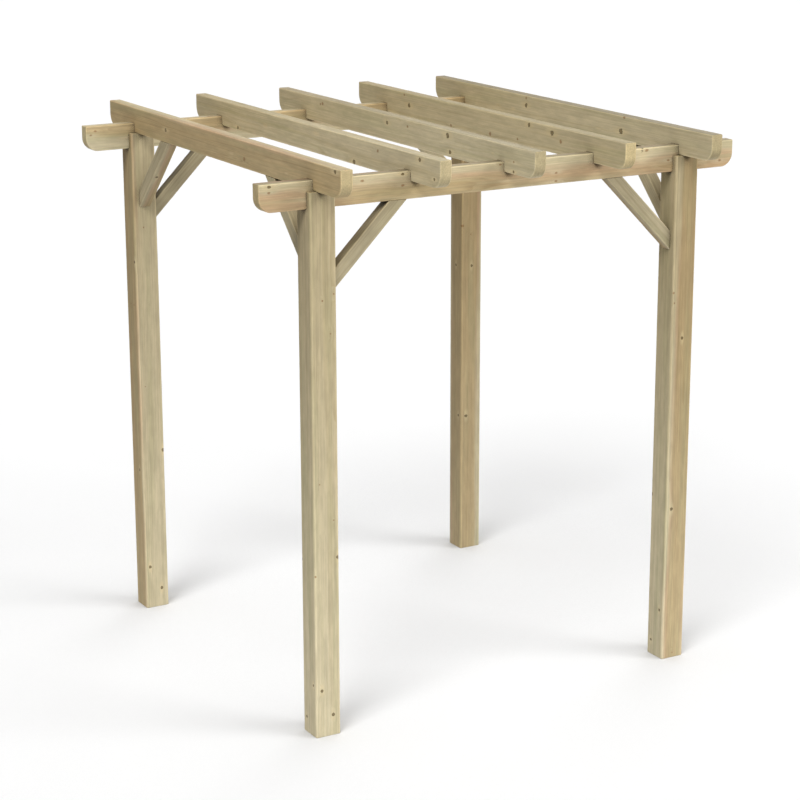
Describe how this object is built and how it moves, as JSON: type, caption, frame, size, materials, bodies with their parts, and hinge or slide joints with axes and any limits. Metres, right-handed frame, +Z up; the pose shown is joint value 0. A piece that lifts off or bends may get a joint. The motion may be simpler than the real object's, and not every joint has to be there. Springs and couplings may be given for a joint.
{
  "type": "timber pergola",
  "caption": "Free-standing open timber pergola: square posts carry beams let into their tops, rafters notched over the beams, and knee braces at every corner.",
  "frame": {"origin": "on the ground, midway between the four posts", "axes": "+Z up, +X along the two beams from the front-left post to the front-right post, +Y along the rafters from front to back"},
  "size_m": [2, 2, 2.108],
  "materials": {
    "post_timber": "planed softwood, pressure treated, unpainted",
    "beam_timber": "planed softwood, pressure treated, unpainted",
    "rafter_timber": "planed softwood, pressure treated, unpainted",
    "brace_timber": "planed softwood, pressure treated, unpainted"
  },
  "bodies": {
    "root": {"post_front_left": "post_timber", "post_front_right": "post_timber", "post_back_left": "post_timber", "post_back_right": "post_timber", "beam_front": "beam_timber", "beam_back": "beam_timber", "rafter_1": "rafter_timber", "rafter_2": "rafter_timber", "rafter_3": "rafter_timber", "rafter_4": "rafter_timber", "rafter_5": "rafter_timber", "brace_front_left_beam": "brace_timber", "brace_front_right_beam": "brace_timber", "brace_back_left_beam": "brace_timber", "brace_back_right_beam": "brace_timber", "brace_front_left_rafter": "brace_timber", "brace_front_right_rafter": "brace_timber", "brace_back_left_rafter": "brace_timber", "brace_back_right_rafter": "brace_timber"}
  },
  "joints": []
}
